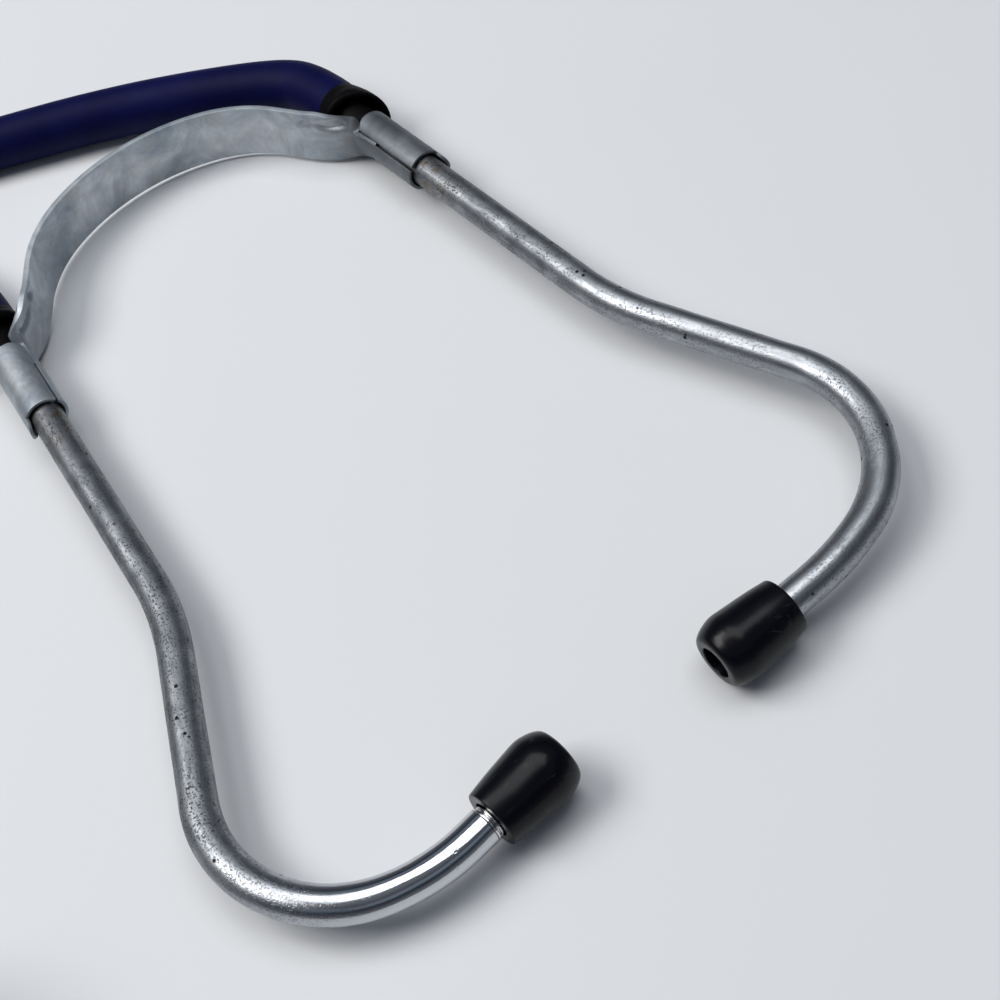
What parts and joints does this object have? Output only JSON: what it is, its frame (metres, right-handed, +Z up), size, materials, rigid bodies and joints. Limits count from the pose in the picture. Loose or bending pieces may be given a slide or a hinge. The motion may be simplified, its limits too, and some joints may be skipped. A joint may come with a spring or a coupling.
{
  "type": "stethoscope",
  "caption": "Dual-head stethoscope with a leaf-spring headset, turning ear tubes, screw-on ear tips, Y-shaped tubing and a chestpiece that turns on its stem.",
  "frame": {"origin": "centre of the diaphragm's outer face, on the surface that the whole stethoscope lies on", "axes": "+Z up, from the diaphragm towards the bell; +Y along the chestpiece's stem towards the hose; the headset lies flat on the +X side with its ear tips towards -Y and its leaf spring towards +Y"},
  "size_m": [0.2153, 0.3379, 0.0316],
  "materials": {
    "ear_tube_chrome": "pitted polished chrome",
    "spring_steel": "worn zinc grey, matte",
    "insert_metal": "polished",
    "tip_rubber": "satin black",
    "collar_rubber": "dull black",
    "navy_hose": "satin navy",
    "connector_metal": "polished",
    "head_metal": "polished",
    "membrane": "smooth",
    "seal_rubber": "satin black"
  },
  "bodies": {
    "root": {"leaf_spring": "spring_steel", "right_arm_tube": "navy_hose", "left_arm_tube": "navy_hose", "main_tube": "navy_hose", "y_connector": "connector_metal", "chestpiece_stem": "connector_metal", "stem_clip": "spring_steel", "stem_seal": "seal_rubber"},
    "right_side": {"right_spring_sleeve": "spring_steel", "right_tube_collar": "collar_rubber"},
    "left_side": {"left_spring_sleeve": "spring_steel", "left_tube_collar": "collar_rubber"},
    "right_ear": {"right_ear_tube": "ear_tube_chrome", "right_tip_insert": "insert_metal"},
    "left_ear": {"left_ear_tube": "ear_tube_chrome", "left_tip_insert": "insert_metal"},
    "right_tip": {"right_ear_tip": "tip_rubber"},
    "left_tip": {"left_ear_tip": "tip_rubber"},
    "chest_head": {"chestpiece_head": "head_metal", "bell_rim": "seal_rubber", "diaphragm": "membrane", "index_ball": "insert_metal", "index_spring": "spring_steel", "index_screw": "insert_metal"},
    "ring": {"diaphragm_ring": "head_metal"}
  },
  "joints": [
    {"name": "right_spread", "type": "hinge", "parent": "root", "child": "right_side", "pos_m": [0.1455, 0.1235, 0.0069], "axis": [0, 0, 1], "range_deg": [-4, 18], "stiffness_Nm_per_rad": 2.5, "deforming": ["leaf_spring", "right_arm_tube"]},
    {"name": "left_spread", "type": "hinge", "parent": "root", "child": "left_side", "pos_m": [0.1105, 0.1235, 0.0069], "axis": [0, 0, 1], "range_deg": [-18, 4], "stiffness_Nm_per_rad": 2.5, "deforming": ["leaf_spring", "left_arm_tube"]},
    {"name": "right_tube_turn", "type": "hinge", "parent": "right_side", "child": "right_ear", "pos_m": [0.1704, 0.0854, 0.0069], "axis": [0.0732, -0.9973, 0], "range_deg": [-25, 25]},
    {"name": "left_tube_turn", "type": "hinge", "parent": "left_side", "child": "left_ear", "pos_m": [0.0856, 0.0854, 0.0069], "axis": [-0.0732, -0.9973, 0], "range_deg": [-25, 25]},
    {"name": "right_tip_turn", "type": "hinge", "parent": "right_ear", "child": "right_tip", "pos_m": [0.1551, -0.03103, 0.00617], "axis": [-0.9993, -0.0209, -0.0305], "continuous": true},
    {"name": "left_tip_turn", "type": "hinge", "parent": "left_ear", "child": "left_tip", "pos_m": [0.09904, -0.02945, 0.00623], "axis": [0.9903, 0.1357, -0.0299], "continuous": true},
    {"name": "head_turn", "type": "hinge", "parent": "root", "child": "chest_head", "pos_m": [0, 0, 0.0135], "axis": [0, 1, 0], "continuous": true},
    {"name": "ring_turn", "type": "hinge", "parent": "chest_head", "child": "ring", "pos_m": [0, 0, 0], "axis": [0, 0, 1], "continuous": true}
  ]
}
